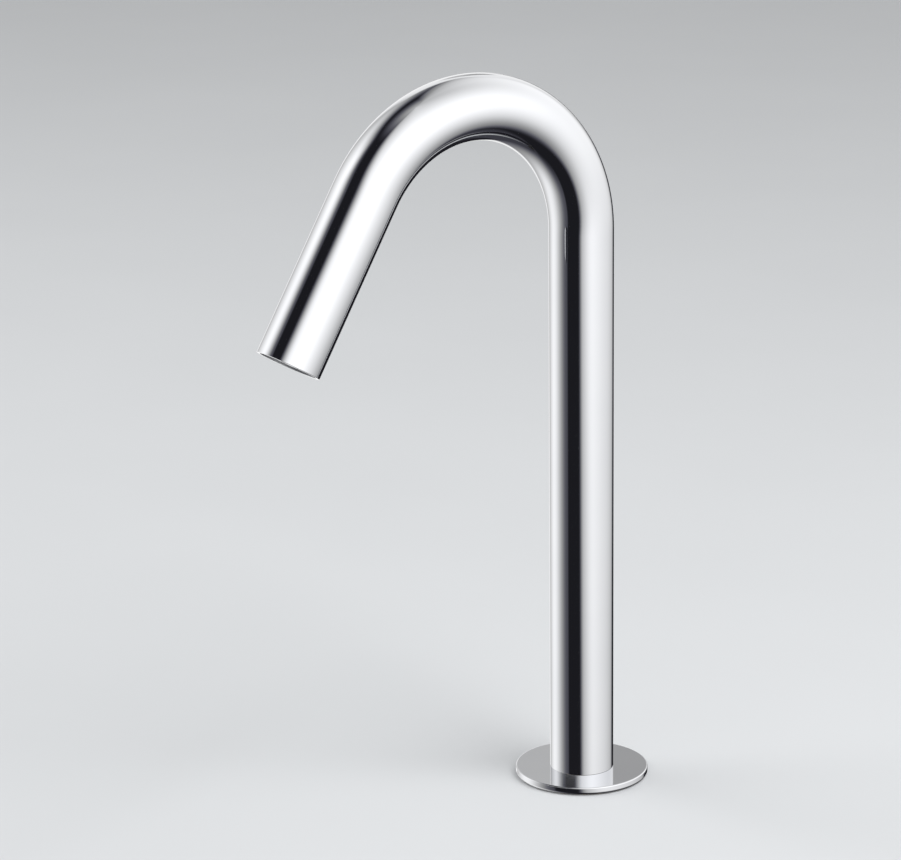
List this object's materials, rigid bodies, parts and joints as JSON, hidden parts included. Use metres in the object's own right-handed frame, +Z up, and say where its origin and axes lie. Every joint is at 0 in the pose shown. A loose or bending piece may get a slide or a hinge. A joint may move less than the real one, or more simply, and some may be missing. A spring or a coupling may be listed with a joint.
{
  "type": "sensor tap",
  "caption": "Tall gooseneck sensor tap: a polished bent tube on a round base flange, with an aerator and an infrared sensor in its outlet and a nut-clamped shank below the deck.",
  "frame": {"origin": "on the column's axis in the plane of the deck that the tap stands on, under the base gasket", "axes": "+Z up along the column; the spout reaches towards -Y; +X to the right of someone who looks along +Y at the spout"},
  "size_m": [0.0584, 0.1924, 0.387],
  "materials": {
    "polished_chrome": "mirror polished",
    "turned_brass": "turned",
    "plated_steel": "zinc plated",
    "black_rubber": "matt",
    "grey_moulding": "fine moulded",
    "white_moulding": "moulded",
    "hose_plastic": "smooth",
    "black_moulding": "moulded",
    "dark_window": "polished",
    "diode_resin": "clear moulded",
    "board_laminate": "lacquered",
    "potting_resin": "cast",
    "gilt_contacts": "gilt"
  },
  "bodies": {
    "root": {"spout_tube": "polished_chrome", "base_flange": "polished_chrome", "aerator_housing": "polished_chrome", "tube_foot_bush": "turned_brass", "threaded_shank": "turned_brass", "inlet_block": "turned_brass", "nozzle_set_screw": "plated_steel", "hose_ferrule_lower": "plated_steel", "hose_ferrule_upper": "plated_steel", "aerator_screen": "plated_steel", "foot_o_ring": "black_rubber", "deck_gasket": "black_rubber", "inlet_o_ring": "black_rubber", "aerator_seal": "black_rubber", "flow_regulator_ring": "black_rubber", "window_gasket": "black_rubber", "nozzle_housing": "grey_moulding", "aerator_insert": "white_moulding", "aerator_jet_plate": "white_moulding", "water_hose": "hose_plastic", "sensor_carrier": "black_moulding", "lead_socket": "black_moulding", "sensor_cable": "black_moulding", "cable_boot": "black_moulding", "sensor_window": "dark_window", "ir_emitter": "diode_resin", "ir_receiver": "diode_resin", "sensor_board": "board_laminate", "sensor_potting": "potting_resin", "socket_pins": "gilt_contacts"},
    "clamp_washers": {"clamp_rubber_washer": "black_rubber", "clamp_steel_washer": "plated_steel"},
    "mounting_nut": {"mounting_nut": "turned_brass"}
  },
  "joints": [
    {"name": "clamp_travel", "type": "slide", "parent": "root", "child": "clamp_washers", "axis": [0, 0, 1], "range_m": [-0.02, 0.017]},
    {"name": "nut_turn", "type": "hinge", "parent": "clamp_washers", "child": "mounting_nut", "pos_m": [0, 0, -0.029], "axis": [0, 0, 1], "range_deg": [-4790, 4070]}
  ],
  "couplings": [
    {"joint": "clamp_travel", "follows": "nut_turn", "m_per_rad": 0.00023873}
  ]
}
